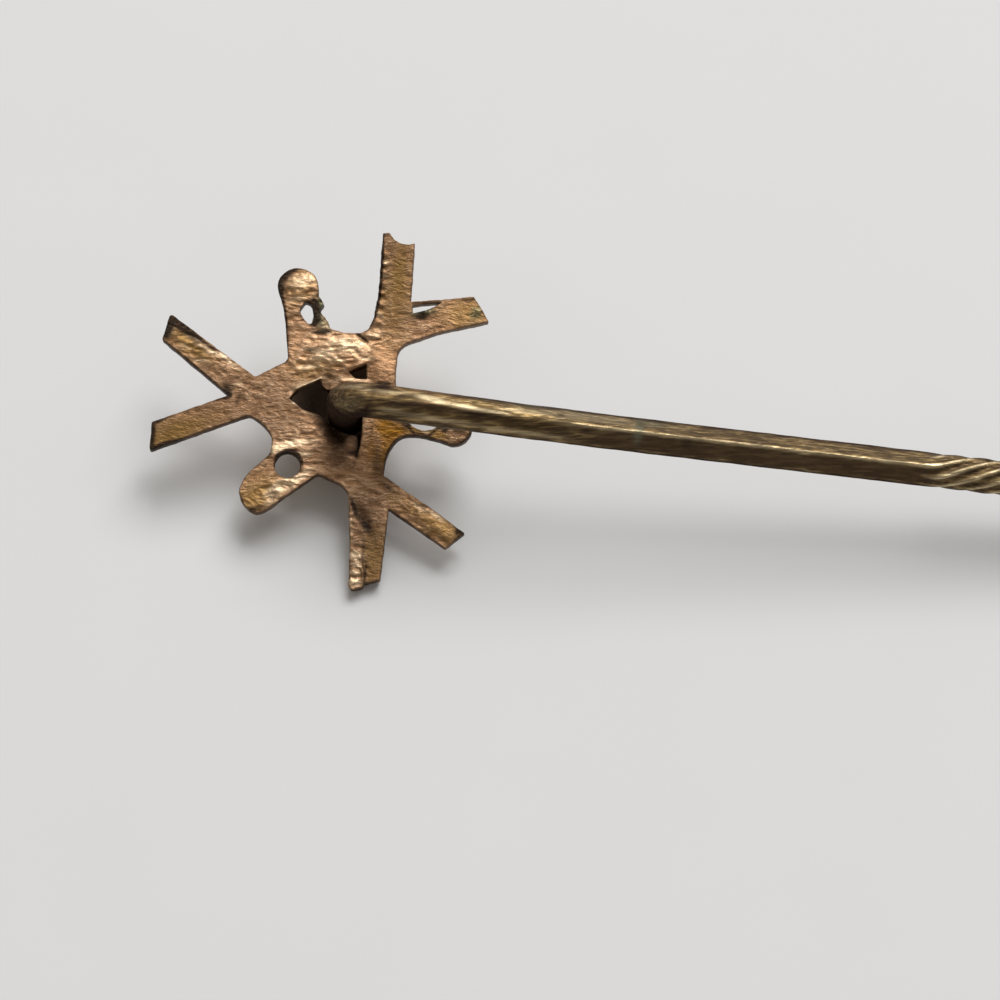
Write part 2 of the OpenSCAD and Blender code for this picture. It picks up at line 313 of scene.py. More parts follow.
# Material helpers
class Nodes:
    """Short ways to add and join shader nodes of one material."""

    def __init__(self, name):
        self.material = bpy.data.materials.new(name)
        self.material.use_nodes = True
        self.tree = self.material.node_tree
        self.shader = self.tree.nodes["Principled BSDF"]

    def add(self, kind, values=None, **settings):
        """A new node with its settings and the values of its sockets."""
        node = self.tree.nodes.new(kind)
        for key, value in settings.items():
            setattr(node, key, value)
        for key, value in (values or {}).items():
            self.give(node, key, value)
        return node

    def give(self, node, key, value):
        """Writes a number or colour on a node's socket, or links another node to it."""
        if isinstance(value, bpy.types.NodeSocket):
            self.tree.links.new(value, node.inputs[key])
        else:
            node.inputs[key].default_value = value

    def set(self, key, value):
        """Gives the material's own shader a value."""
        self.give(self.shader, key, value)

    def grain(self, size, detail=3.0, coarse=0.55, twist=0.0, move=(0, 0, 0)):
        """Noise with its mean feature sizes along X, Y and Z in millimetres."""
        place = self.add("ShaderNodeTexCoord").outputs["Object"]
        scaled = self.add("ShaderNodeMapping", {
            "Vector": place, "Location": move,
            "Scale": [1 / (s * MM) for s in size]}).outputs[0]
        return self.add("ShaderNodeTexNoise", {
            "Vector": scaled, "Scale": 1.0, "Detail": detail, "Roughness": coarse,
            "Distortion": twist}).outputs["Fac"]

    def ramp(self, value, low, high, to_low=0.0, to_high=1.0):
        """A value's share of the way from low to high, held at both ends."""
        return self.add("ShaderNodeMapRange", {
            "Value": value, "From Min": low, "From Max": high,
            "To Min": to_low, "To Max": to_high}).outputs[0]

    def math(self, kind, a, b):
        return self.add("ShaderNodeMath", {0: a, 1: b}, operation=kind).outputs[0]

    def times(self, a, b):
        return self.math("MULTIPLY", a, b)

    def plus(self, a, b):
        return self.math("ADD", a, b)

    def most(self, a, b):
        return self.math("MAXIMUM", a, b)

    def mix(self, factor, a, b, blend="MIX"):
        """Mix of two colours. The sockets of a mix node have to be named by number."""
        return self.add("ShaderNodeMix", {0: factor, 6: a, 7: b}, data_type="RGBA",
                        blend_type=blend).outputs[2]

    def cover(self, colour, coats):
        """Lays coats of share and colour over a colour, one after another."""
        for share, coat in coats:
            colour = self.mix(share, colour, rgba(coat))
        return colour

    def bump(self, height, depth, strength, normal=None):
        """Bump of a depth in millimetres, over an earlier one."""
        values = {"Height": height, "Distance": depth * MM, "Strength": strength}
        if normal is not None:
            values["Normal"] = normal
        return self.add("ShaderNodeBump", values).outputs[0]

    def layer(self, name):
        """Red, green and blue of a painted attribute."""
        colour = self.add("ShaderNodeAttribute", attribute_name=name).outputs["Color"]
        return self.add("ShaderNodeSeparateColor", {0: colour}).outputs


def rgba(colour, scale=1.0):
    """A colour made darker by a scale, with its alpha."""
    return (*[c * scale for c in colour], 1.0)


def copper_sheet(finishes):
    """Crumpled, rubbed and stained sheet, with painted shade, highlights and light. It reads the
    painted stain_and_shade, wear and form layers.
    """
    n = Nodes("copper_sheet")
    stain_and_shade, wear, form = [n.layer(layer) for layer in LAYERS]
    relief = form[0]
    strokes = n.grain((0.30, 0.13, 0.13), 4, 0.6, 1.2)
    fine = n.grain((0.15, 0.07, 0.07), 3, 0.6, 1.0, (3.1, 7.7, 1.9))
    clouds = n.grain((1.3, 0.8, 0.8), 3, 0.6, 0.6, (9.3, 2.2, 5.1))
    specks = n.grain((0.11, 0.07, 0.07), 3, 0.6, 0.2, (1.3, 4.1, 8.8))
    colour = n.mix(n.ramp(clouds, 0.36, 0.66), rgba(finishes.copper, 0.80),
                   rgba(finishes.copper))
    crests = n.times(n.ramp(relief, 0.58, 0.90), n.ramp(fine, 0.34, 0.58))
    rust = n.times(wear[0], n.ramp(clouds, 0.25, 0.6, 0.6, 1))
    colour = n.cover(colour, (
        # Painted shade in the relief's hollows, brown strokes, crests made lighter as rubbed metal
        # and painted light, bright specks, gold tarnish and rust
        (n.ramp(relief, 0.46, 0.10, 0, 0.75), (0.105, 0.050, 0.026)),
        (n.ramp(strokes, 0.50, 0.34, 0, 0.50), (0.13, 0.062, 0.032)),
        (n.times(crests, 0.65), (0.68, 0.45, 0.28)),
        (n.ramp(fine, 0.60, 0.74, 0, 0.35), (0.60, 0.39, 0.25)),
        (n.times(stain_and_shade[2], 0.75), (0.31, 0.178, 0.046)),
        (rust, (0.30, 0.135, 0.016)),
    ))
    # Painted light and shade, with tone, over stretches of the sheet
    colour = n.mix(1.0, colour, n.ramp(form[2], 0, 1, 0.42, 1.58), "MULTIPLY")
    # Rubbed metal and painted highlights and glints from the bright marks, mixed to pale cream
    rubbed = n.times(wear[1], n.ramp(fine, 0.36, 0.52, 0.40, 1))
    rubbed = n.times(rubbed, n.ramp(relief, 0.20, 0.50, 0.50, 1))
    colour = n.mix(rubbed, colour, (0.97, 0.72, 0.46, 1))
    crust = n.mix(n.ramp(specks, 0.42, 0.58), (0.045, 0.045, 0.024, 1), (0.33, 0.31, 0.165, 1))
    colour = n.mix(n.times(stain_and_shade[1], n.ramp(fine, 0.30, 0.46)), colour, crust)
    # Darkened walls and edges, dark stains and painted shade, mixed towards near black
    even = n.most(n.ramp(specks, 0.70, 0.40, 0.70, 1), n.ramp(wear[2], 0.75, 1.0))
    rim = n.times(n.ramp(wear[2], 0.15, 0.75), even)
    dark = n.most(n.times(stain_and_shade[0], n.ramp(fine, 0.70, 0.45, 0.7, 1)), rim)
    colour = n.mix(n.ramp(dark, 0, 0.96, 0, 0.95), colour, (0.022, 0.014, 0.010, 1))
    n.set("Base Color", colour)
    n.set("Metallic", 0.85)
    dull = n.ramp(strokes, 0.35, 0.65, 0.30, 0.46)
    n.set("Roughness", n.plus(dull, n.times(dark, 0.22)))
    normal = n.bump(strokes, 0.034, 0.9)
    normal = n.bump(fine, 0.014, 0.9, normal)
    n.set("Normal", n.bump(specks, 0.006, 0.8, normal))
    return n.material


def olive_brass(finishes, name="olive_brass"):
    """Tarnished brass wire with rubbed streaks, painted shade and painted highlights. It reads the
    stain_and_shade, wear and form layers.
    """
    n = Nodes(name)
    stain_and_shade, wear, form = [n.layer(layer) for layer in LAYERS]
    tarnish = n.ramp(form[0], 0.5, 1.0)
    streaks = n.grain((1.1, 0.15, 0.15), 4, 0.62, 0.8)
    hairs = n.grain((0.7, 0.06, 0.06), 4, 0.62, 0.5, (6.1, 2.7, 3.9))
    clouds = n.grain((1.6, 0.6, 0.6), 3, 0.6, 0.5, (4.4, 1.9, 6.0))
    specks = n.grain((0.16, 0.09, 0.09), 3, 0.6, 0.2, (2.3, 5.1, 3.8))
    patches = n.grain((0.75, 0.12, 0.12), 2, 0.5, 0.4, (7.7, 3.2, 0.6))
    colour = n.mix(n.ramp(clouds, 0.36, 0.66), rgba(finishes.brass, 0.62), rgba(finishes.brass))
    uneven = n.times(tarnish, n.ramp(clouds, 0.25, 0.65, 1.15, 0.85))
    uneven = n.times(uneven, n.ramp(hairs, 0.38, 0.62, 1.35, 0.55))
    uneven = n.times(uneven, n.ramp(patches, 0.40, 0.60, 0.60, 1.25))
    uneven = n.most(uneven, n.ramp(tarnish, 0.80, 1.0, 0, 0.88))
    dark = n.most(stain_and_shade[0], n.ramp(specks, 0.36, 0.28, 0, 0.5))
    colour = n.cover(colour, (
        # Dark streaks, olive and light patches, light hairs and brown marks
        (n.ramp(streaks, 0.58, 0.38, 0, 0.85), (0.085, 0.050, 0.020)),
        (n.ramp(patches, 0.50, 0.60, 0, 0.55), (0.10, 0.072, 0.022)),
        (n.ramp(patches, 0.44, 0.36, 0, 0.45), (0.60, 0.43, 0.21)),
        (n.ramp(hairs, 0.55, 0.70, 0, 0.3), (0.55, 0.42, 0.22)),
        (n.times(wear[0], 0.75), (0.22, 0.115, 0.055)),
        # Tarnish with painted shade on the lower side, rubbed metal with painted highlights, green
        # crust, dark stains with painted shade under the turn, and the solder inside the boss
        (uneven, (0.072, 0.042, 0.020)),
        (n.times(wear[1], n.ramp(hairs, 0.30, 0.55, 0.45, 1)), (0.74, 0.60, 0.37)),
        (n.times(stain_and_shade[1], n.ramp(specks, 0.3, 0.6, 0.4, 0.9)), (0.20, 0.22, 0.15)),
        (n.times(dark, 0.95), (0.034, 0.019, 0.014)),
        (form[1], (0.42, 0.31, 0.245)),
    ))
    n.set("Base Color", colour)
    metal = n.ramp(tarnish, 0.4, 1.0, 0.9, 0.3)
    n.set("Metallic", n.times(metal, n.ramp(form[1], 0, 1, 1, 0.1)))
    shine = n.ramp(tarnish, 0.4, 1.0, 0.5, 0.15)
    n.set("Specular IOR Level", n.times(shine, n.ramp(dark, 0, 1, 1, 0.3)))
    dull = n.plus(n.ramp(clouds, 0.3, 0.7, 0.44, 0.34), n.times(dark, 0.2))
    dull = n.plus(dull, n.ramp(patches, 0.42, 0.58, -0.05, 0.12))
    n.set("Roughness", n.plus(dull, n.times(tarnish, 0.10)))
    normal = n.bump(patches, 0.030, 0.9)
    normal = n.bump(streaks, 0.030, 0.9, normal)
    normal = n.bump(hairs, 0.007, 0.8, normal)
    n.set("Normal", n.bump(specks, 0.006, 0.8, normal))
    return n.material


def pale_floor(finishes):
    """Dull pale paper with faint clouds."""
    n = Nodes("pale_floor")
    place = n.grain((6, 6, 6), 2, 0.5)
    n.set("Base Color", n.mix(n.ramp(place, 0.3, 0.7), rgba(finishes.paper, 0.99),
                              rgba(finishes.paper)))
    n.set("Roughness", 0.9)
    n.set("Specular IOR Level", 0.2)
    return n.material


# Painted layers
def ellipse(p, q, row):
    """Strength of an oval mark at a point, from its middle, half length, half width and turn."""
    mp, mq, half_l, half_w, turn = row[:5]
    a = math.radians(turn)
    dp, dq = p - mp, q - mq
    u = (dp * math.cos(a) + dq * math.sin(a)) / half_l
    v = (dq * math.cos(a) - dp * math.sin(a)) / half_w
    return math.exp(-1.1 * (u * u + v * v) ** 1.4)


def marks(p, q, rows):
    """Strength of all the marks of a table at a point."""
    return min(1.0, sum(row[5] * ellipse(p, q, row) for row in rows))


def placed(rows):
    """Rows of marks, their places in the picture turned into points of the star."""
    return [((x - SEEN_MIDDLE[0]) / PX_ACROSS, (SEEN_MIDDLE[1] - y) / PX_UP, *rest)
            for x, y, *rest in rows]


# Marks as place in the picture, half length and half width in millimetres, turn in degrees
# and strength
# Dark marks: dark stains and tarnish, and painted shade in a crease, under a fold, on the flap and
# in the window's gaps
DARK = placed((
    # Left arms
    (168, 328, 0.55, 0.2, 74, 1.4), (183, 328, 0.75, 0.17, -38, 1.4),
    (176, 322, 0.35, 0.22, -38, 1.2), (206, 345, 0.5, 0.07, -38, 0.88),
    (220, 350, 0.16, 0.09, -20, 1.0), (227, 390, 0.28, 0.24, 60, 0.95),
    (237, 378, 0.2, 0.1, 20, 0.62), (238, 401, 0.22, 0.1, 75, 0.7),
    (153, 437, 0.62, 0.1, 84, 1.4), (163, 447, 0.7, 0.12, 18, 1.4),
    (190, 439, 0.9, 0.07, 18, 1.0),
    # Top tab
    (280, 287, 0.65, 0.15, 76, 1.4), (288, 274, 0.45, 0.14, 38, 1.3),
    (302, 268, 0.4, 0.09, 5, 1.1), (284, 322, 1.25, 0.12, 97, 1.0),
    (314.5, 305, 0.22, 0.12, 100, 1.2), (316, 313, 0.45, 0.14, 100, 1.25),
    (315, 322, 0.3, 0.11, 70, 1.25), (325, 333, 0.35, 0.09, 10, 1.0),
    (318, 333, 0.35, 0.08, 0, 0.75),
    # Upper and right arms, with painted shade under the fold at the right arm's root
    (375, 290, 1.6, 0.07, 86, 1.0), (421, 317, 0.3, 0.16, 5, 1.12),
    (424, 311, 0.45, 0.05, 14, 1.1), (470, 300, 0.4, 0.07, 8, 0.88),
    (361, 338, 0.35, 0.07, -38, 1.12),
    # Lower left tab
    (252, 512, 0.6, 0.12, 14, 0.95), (242, 502, 0.35, 0.11, -70, 0.88),
    (296, 459, 0.28, 0.14, -60, 1.0), (273, 497, 0.18, 0.12, 20, 0.6),
    # Lower arms, with painted shade in the lower arm's crease
    (353, 505, 0.42, 0.1, -72, 0.6), (360, 517, 0.5, 0.14, -62, 0.55),
    (368, 529, 0.3, 0.17, -62, 0.8), (348, 518, 0.35, 0.05, -85, 0.4),
    (364, 552, 0.5, 0.05, 88, 0.62), (461, 532, 0.28, 0.17, 50, 1.4),
    (380, 583, 0.45, 0.09, 12, 1.2), (448, 545, 0.4, 0.11, -36, 0.5),
    (394, 493, 0.3, 0.06, -25, 0.55), (366, 505, 0.75, 0.61, -80, 0.34),
    (388, 488, 0.16, 0.09, -30, 0.75), (429, 507, 0.16, 0.08, -30, 1.0),
    (405, 522, 0.75, 0.06, -36, 0.9), (366, 575, 0.5, 0.05, 85, 0.9),
    # Right tab
    (459, 434, 0.36, 0.2, -20, 0.6), (411, 431, 0.26, 0.06, -52, 1.3),
    (422, 435.5, 0.28, 0.05, -14, 1.3), (434, 433, 0.26, 0.06, 38, 1.3),
    (405, 425, 0.2, 0.13, -40, 1.0), (444, 430, 0.2, 0.14, -60, 1.2),
    (410, 424, 0.2, 0.16, 60, 0.88), (440, 425, 0.2, 0.16, 110, 1.0),
    # Body and window, mostly painted shade: on the flap, under the bridge by the wire and in the
    # gap beside the slot
    (333, 378, 0.3, 0.12, -20, 0.35), (384, 385, 0.3, 0.08, -4, 1.4),
    (358, 448, 0.55, 0.07, 80, 0.88), (372, 360, 0.2, 0.07, 20, 0.62),
    (338, 456, 0.45, 0.54, -60, 0.56), (308, 409, 0.4, 0.14, -10, 0.88),
    (353, 453, 0.16, 0.11, 0, 0.88), (310, 352, 0.35, 0.04, -6, 0.88),
    (330, 354, 0.25, 0.04, -10, 0.75), (377, 462, 0.55, 0.16, 85, 0.4),
    (384, 472, 0.45, 0.22, 60, 0.4), (324, 385, 0.3, 0.3, 0, 0.5),
    (333, 383, 0.4, 0.28, 0, 0.25), (352, 470, 0.5, 0.25, -40, 0.3),
    (372, 433, 0.35, 0.05, 85, 0.5),
))
GREEN = placed((
    (321, 305, 0.48, 0.22, 80, 1.0), (322, 325, 0.4, 0.2, -50, 0.8),
    (424, 313, 0.5, 0.12, 8, 1.0), (476, 314, 0.28, 0.2, 60, 0.9),
    (166, 332, 0.3, 0.22, 75, 0.7), (280, 292, 0.4, 0.1, 80, 0.5),
))
GOLD = placed((
    (172, 436, 1.1, 0.55, 17, 1.0), (205, 421, 1.0, 0.3, 17, 0.35),
    (258, 497, 0.9, 0.55, 40, 1.0), (468, 314, 0.9, 0.6, 12, 0.8),
    (190, 346, 1.0, 0.32, -38, 1.0), (374, 560, 1.1, 0.4, 88, 0.8),
    (446, 532, 1.0, 0.45, -36, 0.9), (410, 510, 1.0, 0.3, -36, 0.4),
    (312, 370, 0.9, 0.4, 10, 0.6), (400, 265, 1.4, 0.25, 86, 0.5),
    (395, 300, 1.7, 0.6, 86, 0.6), (300, 290, 0.7, 0.5, 80, 0.5),
    (418, 431, 0.4, 0.2, -10, 1.0), (438, 435, 0.35, 0.18, -20, 1.2),
))
RUST = placed((
    (386, 428, 0.45, 0.42, 0, 1.0), (388, 446, 0.6, 0.26, 80, 1.0),
    (400, 432, 0.4, 0.26, 10, 0.8), (372, 450, 0.45, 0.22, 80, 0.5),
    (379, 466, 0.85, 0.38, 110, 0.35),
))
# Bright marks: painted highlights and glints, with some rubbed metal, all painted a pale cream
BRIGHT = placed((
    # Left arms
    (192, 339, 0.32, 0.06, -25, 0.8), (203, 348, 0.34, 0.06, -20, 0.9),
    (215, 355, 0.3, 0.09, -14, 1.0), (224, 358, 0.24, 0.06, -30, 0.9),
    (232, 366, 0.3, 0.06, -38, 0.8), (200, 362, 0.26, 0.05, 0, 0.7),
    (186, 348, 0.22, 0.05, -25, 0.6), (238, 385, 0.2, 0.05, 0, 0.5),
    # Top tab
    (302, 282, 0.45, 0.25, 20, 0.8), (296, 300, 0.35, 0.08, 10, 0.6),
    (324, 328, 0.25, 0.14, -50, 0.7),
    # Upper and right arms
    (372, 337, 0.3, 0.1, 0, 0.9), (385, 263, 0.1, 0.08, 0, 0.6),
    (383, 276, 0.12, 0.06, -20, 0.8), (379, 316, 0.14, 0.08, -20, 0.7),
    # Lower left tab
    (282, 489, 0.55, 0.22, 28, 1.6), (302, 477, 0.4, 0.14, 38, 1.1),
    (272, 503, 0.35, 0.1, 35, 0.6), (288, 446, 0.75, 0.12, 8, 1.4),
    (278, 452, 0.35, 0.08, 15, 1.2), (305, 455, 0.25, 0.1, 0, 0.8),
    # Lower arms
    (355, 557, 0.22, 0.14, -10, 1.8), (357, 566, 0.18, 0.09, -15, 1.4),
    (355, 574, 0.18, 0.08, -10, 1.2), (354, 583, 0.26, 0.12, -5, 1.5),
    (351, 522, 0.2, 0.05, 80, 0.7), (352, 536, 0.3, 0.04, 88, 0.4),
    (420, 509, 0.25, 0.08, -36, 0.9), (436, 517, 0.3, 0.07, -36, 0.8),
    # Right tab
    (424, 432.5, 0.16, 0.04, -20, 1.2),
    # Body and window
    (345, 347, 0.75, 0.3, -8, 0.9), (318, 352, 0.55, 0.1, -6, 0.9),
    (322, 358, 0.45, 0.16, 5, 0.9), (308, 368, 0.4, 0.08, 5, 0.9),
    (337, 362, 0.3, 0.1, 5, 0.7), (366, 361, 0.25, 0.07, 5, 0.9),
    (299, 388, 0.3, 0.06, 30, 1.0), (313, 383, 0.45, 0.06, 22, 1.0),
    (353, 381.5, 0.5, 0.05, -3, 1.0), (296, 405, 0.15, 0.05, -10, 1.2),
))
# Edges that are darker than others, or lighter where the strength is negative
RIMS = placed((
    (297, 457, 0.55, 0.25, -45, 1.0), (285, 455, 0.55, 0.22, 10, 0.6),
    (314, 314, 0.6, 0.22, 100, 1.0), (468, 438, 0.4, 0.5, 0, 0.5),
    (232, 393, 0.3, 0.3, 0, 1.0), (308, 385, 0.7, 0.16, 24, -0.7),
    (353, 381, 0.6, 0.12, 0, -0.7), (362, 362, 0.35, 0.12, 25, -0.6),
    (190, 372, 1.8, 0.3, -40, 0.8), (200, 446, 2.0, 0.3, 18, 0.8),
    (160, 435, 0.5, 0.6, 0, 1.0), (378, 280, 1.8, 0.2, 86, 1.0),
    (280, 310, 1.8, 0.3, 96, 0.7), (283, 280, 0.9, 0.35, 60, 1.0),
    (425, 440, 1.4, 0.35, -10, 0.3), (465, 533, 0.4, 0.4, 40, 0.6),
    (392, 460, 0.8, 0.25, 85, 0.6),
))
# Stretches of the sheet painted lighter than the rest, or darker where the strength is negative:
# painted light on the body's top, the top tab and the right neck, which face the light, and tone
# elsewhere
LIGHT_AND_TONES = placed((
    (368, 548, 1.7, 0.8, 88, -0.75), (195, 420, 1.9, 0.6, 18, -0.35),
    (392, 285, 2.2, 0.7, 87, -0.35), (272, 412, 1.4, 1.1, 0, -0.35),
    (327, 350, 1.9, 0.7, -2, 1.0), (302, 286, 0.8, 0.6, 15, 0.45),
    (385, 370, 0.5, 0.9, 0, 0.4), (450, 312, 1.4, 0.6, 10, 0.3),
    (381, 468, 0.9, 0.42, 110, -0.65), (418, 431, 0.35, 0.2, -10, 0.9),
    (438, 434, 0.3, 0.16, -20, 0.9),
))
# Swells and dents of the sheet, as place, half length, half width, turn and height
SWELLS = placed((
    (342, 353, 1.25, 0.6, -4, 0.15), (302, 286, 0.55, 0.42, 15, 0.09),
    (290, 500, 0.75, 0.34, 38, 0.1), (288, 453, 0.85, 0.22, 5, 0.05),
    (384, 377, 0.4, 0.55, 0, 0.08), (362, 518, 0.6, 0.18, -65, -0.09),
    (355, 575, 0.7, 0.2, 85, 0.07), (273, 496, 0.16, 0.14, 0, -0.08),
    (320, 395, 0.9, 0.3, 20, 0.03), (214, 362, 0.9, 0.3, -38, 0.03),
    (430, 525, 0.9, 0.22, -36, 0.05),
))
# Rows of small folds, as place, half length, half width, turn, depth and width of a fold
PLEATS = placed((
    (355, 574, 0.75, 0.22, 88, 0.034, 0.27),
    (380, 290, 1.6, 0.16, 86, 0.050, 0.36),
    (352, 525, 0.9, 0.08, 90, 0.030, 0.22),
))
# Places where the sheet is crumpled, ragged at its edge or rubbed smooth
CRUMPLED = placed((
    (335, 355, 1.5, 0.75, 5, 1.0), (285, 490, 1.2, 0.6, 38, 0.9),
    (200, 345, 1.4, 0.5, -38, 0.5), (300, 440, 1.0, 0.6, 5, 0.35),
    (420, 515, 1.3, 0.5, -36, 0.6), (358, 570, 0.8, 0.4, 85, 0.9),
    (300, 300, 0.8, 0.8, 0, 0.5),
))
RAGGED = placed((
    (322, 312, 0.6, 0.3, 85, 1.0), (378, 280, 1.6, 0.15, 87, 0.5),
    (355, 580, 0.5, 0.4, 0, 1.0), (350, 520, 0.9, 0.2, 90, 0.6),
))
RUBBED = placed((
    (384, 368, 0.5, 0.7, 0, 1.0), (376, 440, 0.4, 0.9, 0, 0.5),
    (193, 424, 1.9, 0.45, 17, 0.8), (400, 272, 1.7, 0.3, 87, 1.0),
    (452, 312, 1.1, 0.5, 10, 0.5), (374, 555, 1.3, 0.35, 88, 0.7),
))


def paint(bm, p_of, layers, inside=None):
    """Paints the stain_and_shade, wear and form layers at every vertex, with the painted shade,
    highlights and light that they carry.
    """
    stain_and_shade, wear, form = [bm.verts.layers.float_color.new(layer) for layer in LAYERS]
    for v in bm.verts:
        p, q = p_of(v)
        dark, green, gold, rust, bright, edge, relief, light_and_tone = layers(v, p, q)
        v[stain_and_shade] = (dark, green, gold, 1.0)
        v[wear] = (rust, bright, edge, 1.0)
        v[form] = (0.5 + 0.5 * relief, inside(v) if inside else 0.0, 0.5 + 0.5 * light_and_tone, 1.0)


# The star
def leaned(star):
    """Where the star's flat frame of millimetres lies in the scene."""
    return (Matrix.Translation(star.middle) @ Matrix.Rotation(star.tilt, 4, "X")
            @ Matrix.Scale(MM, 4))


def star_flat(sizes):
    """The sheet cut out with its window, gap, slit and holes, flat and in millimetres."""
    half = sizes.sheet / MM / 2
    deep = 3 * half
    bm = bmesh.new()
    prism(bm, rounded(OUTLINE), -half, half)
    blank = as_object(bm, "star_blank")
    bm = bmesh.new()
    for rows in (WINDOW, GAP, SLIT, LEAF):
        prism(bm, rounded(rows), -deep, deep)
    for p, q, across, along, turn in HOLES:
        peg(bm, (p, q), across, along, turn, -deep, deep)
    cutters = as_object(bm, "star_cutters")
    cut = blank.modifiers.new("cut", "BOOLEAN")
    cut.operation = "DIFFERENCE"
    cut.solver = "EXACT"
    cut.object = cutters
    bm = worked_mesh(blank)
    bpy.data.objects.remove(blank)
    bpy.data.objects.remove(cutters)
    return bm


def bend_of(sizes, p, q):
    """How far an arm's bend lifts the sheet at a point."""
    hinge = sizes.hinge / MM
    lift = 0.0
    for direction, step, bend in BENDS:
        a = math.radians(direction)
        along = p * math.cos(a) + q * math.sin(a)
        across = q * math.cos(a) - p * math.sin(a)
        if along > hinge - BEND_BLEND and abs(across - step) < ARM_ROOM:
            out = along - hinge
            rise = max(out, 0) if abs(out) > BEND_BLEND else (out + BEND_BLEND) ** 2 / 2
            lift = rise * math.tan(math.radians(bend))
    return lift


def flap_share(p, q):
    """How far the torn flap below the window is folded at a point, from 0 to 1."""
    a = math.radians(FLAP_TURN)
    dp, dq = p - FLAP_AT[0], q - FLAP_AT[1]
    past = dq * math.cos(a) - dp * math.sin(a)
    if past < 0 or p > 0.65 or q > 0.35 - 0.1 * p:
        return 0.0
    return smooth(0.0, FLAP_SLOPE, past) * smooth(*FLAP_LOW, q) * smooth(*FLAP_LEFT, p)


def lip_rise(p, q):
    """Height of the raised lips at a point."""
    rise = 0.0
    for p0, q0, p1, q1, half, height in LIPS:
        run = Vector((p1 - p0, q1 - q0))
        away = Vector((p - p0, q - q0))
        t = min(max(away.dot(run) / run.length_squared, 0), 1)
        off = (away - t * run).length / half
        if off < 3:
            rise += height * math.exp(-off * off) * (4 * t * (1 - t)) ** 0.3
    return rise


def pleat_of(p, q):
    """Height of the rows of small folds at a point."""
    rise = 0.0
    for row in PLEATS:
        share = ellipse(p, q, row)
        if share > 0.02:
            wander = 0.12 * ripple(p * 3, q * 1.6, 8.0)
            wander += 0.05 * ripple(p * 6, q * 6, 8.0) + 0.10 * p
            uneven = 1 + 1.6 * ripple(p * 2, q * 2.3, 1.7)
            rise += row[5] * share * uneven * math.sin(2 * math.pi * (q + wander) / row[6])
    return rise


def relief_of(p, q):
    """Crumpled relief of the rubbed sheet: its height and its shade, each about -1 to 1."""
    warp = ripple(p * 0.9, q * 0.9, 5.5)
    big = ripple(p * 1.3 + warp, (q + 0.30 * warp) * 3.6, 2.0)
    mid = ripple(p * 2.6 - warp, (q - 0.15 * warp) * 7.6, 3.7)
    fine = ripple(p * 6.0, q * 13.0, 4.0)
    crease, wrinkle = 1 - 2.6 * abs(big), 1 - 2.6 * abs(mid)
    height = 0.48 * crease + 0.42 * wrinkle + 0.12 * fine
    shade = 0.45 * crease + 0.45 * wrinkle + 0.30 * fine
    return height, shade


def lift_of(sizes, p, q, h, height, rubbed):
    """How far the dented, bent and crusted sheet stands above the flat one at a point."""
    lift = SWAY * ripple(p * 0.55, q * 0.75, 3.3)
    lift += sum(row[5] * ellipse(p, q, row) for row in SWELLS)
    lift += bend_of(sizes, p, q) - FLAP_DEEP * flap_share(p, q)
    if h > -0.25 * sizes.sheet / MM:
        crust = marks(p, q, GREEN)
        if crust > 0.05:
            lift += CRUST * crust * abs(ripple(p * 7, q * 7, 1))
        strength = 0.30 + marks(p, q, CRUMPLED) - 0.2 * rubbed
        lift += CRUMPLE * strength * height + lip_rise(p, q) + pleat_of(p, q)
    return lift


def nicked(p, q, h):
    """How far the sheet's wall is worn out or in at a point."""
    nick = ripple(p * 3.1, q * 3.1, h * 1.2) + 0.7 * ripple(p * 8.3, q * 8.3, h * 3 + 4)
    return nick * (NICK + NICK_RAGGED * marks(p, q, RAGGED))


def edge_darkening(v, near):
    """How dark a vertex is painted, from how steep it stands and how near the nearest wall is."""
    p, q, h = v.co
    darker = marks(p, q, RIMS)
    wide = max(darker, 0)
    band = smooth(0.085 + 0.10 * wide, 0.02 + 0.07 * wide, near) if h > 0 else 0
    band *= 0.55 + 0.45 * min(wide, 1.0)
    return max(1 - abs(v.normal.z), band) * min(1.0, max(0.75 + darker, 0.0))


def sheet_layers(p, q, edge, relief):
    """Stain, wear and form of the sheet at a point, in the order that paint takes. Painted shade
    rides with the dark stains, painted highlights with the bright marks and painted light with the
    tones.
    """
    # Painted shadow of the stem on the flap, left out on its lit patch
    flap_shadow = flap_share(p, q) * (1 - 0.8 * ellipse(p, q, FLAP_LIT))
    dark = max(marks(p, q, DARK), min(FLAP_SHADE, 1.25 * flap_shadow))
    return (dark, marks(p, q, GREEN), marks(p, q, GOLD), marks(p, q, RUST),
            marks(p, q, BRIGHT), edge, relief, marks(p, q, LIGHT_AND_TONES))


